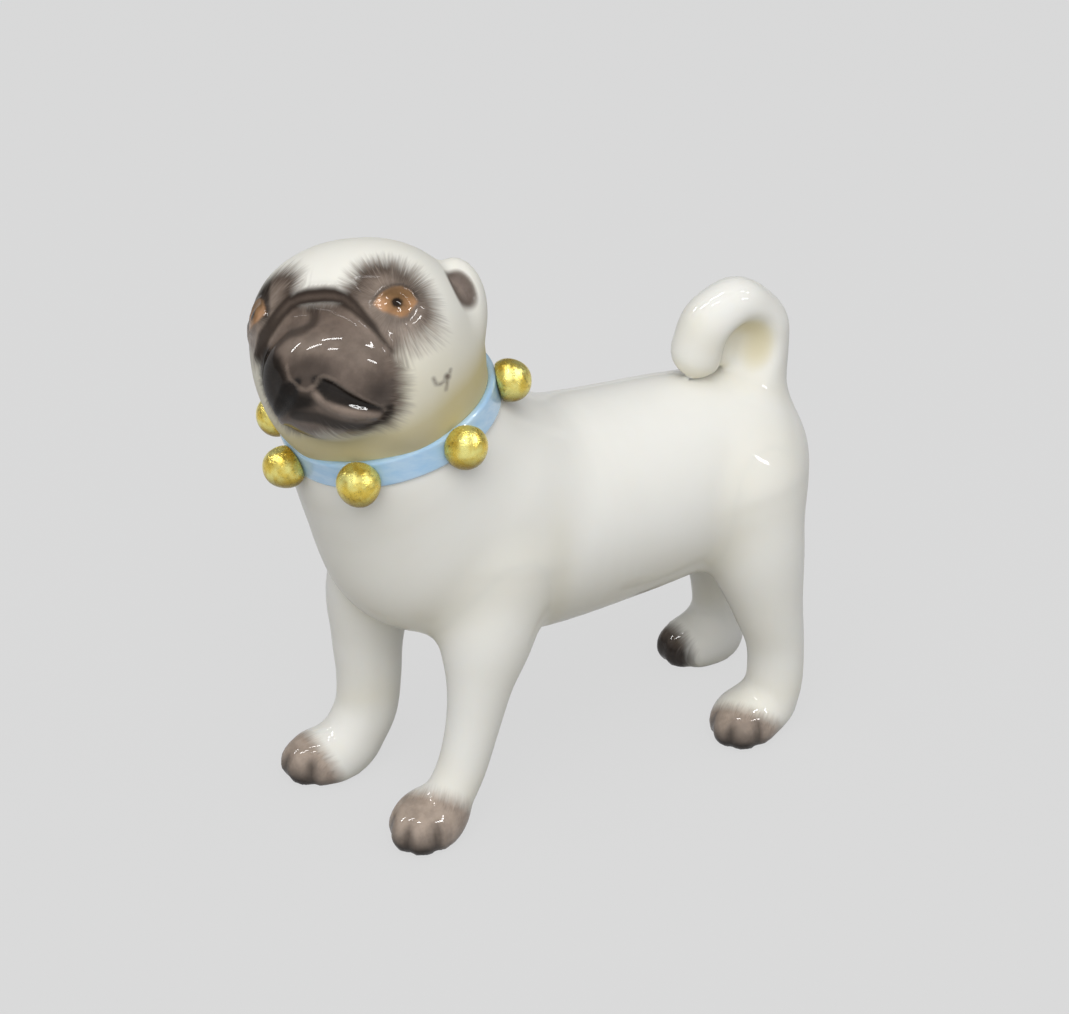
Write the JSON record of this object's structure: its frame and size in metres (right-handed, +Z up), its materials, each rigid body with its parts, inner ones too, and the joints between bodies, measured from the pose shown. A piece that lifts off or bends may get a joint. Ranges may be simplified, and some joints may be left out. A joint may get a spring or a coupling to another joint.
{
  "type": "porcelain pug figurine",
  "caption": "Standing porcelain pug with its head turned to the left, a curled tail and a collar hung with gilded bells; a shelf ornament that stands on its own paws.",
  "frame": {"origin": "middle of the bounding box on the ground, between the paws", "axes": "+X forward along the torso, +Y to the dog's left, +Z up"},
  "size_m": [0.0996, 0.0434, 0.098],
  "materials": {
    "porcelain": "white porcelain under a clear gloss glaze, with painted mask, eyes and paws",
    "enamel": "light blue enamel under gloss glaze",
    "gilding": "porcelain balls covered with brushed burnished gold"
  },
  "bodies": {
    "root": {"body": "porcelain", "head": "porcelain", "left_ear": "porcelain", "right_ear": "porcelain", "left_foreleg": "porcelain", "right_foreleg": "porcelain", "left_hind_leg": "porcelain", "right_hind_leg": "porcelain", "tail": "porcelain", "collar": "enamel", "bell_1": "gilding", "bell_2": "gilding", "bell_3": "gilding", "bell_4": "gilding", "bell_5": "gilding", "bell_6": "gilding", "bell_7": "gilding"}
  },
  "joints": []
}
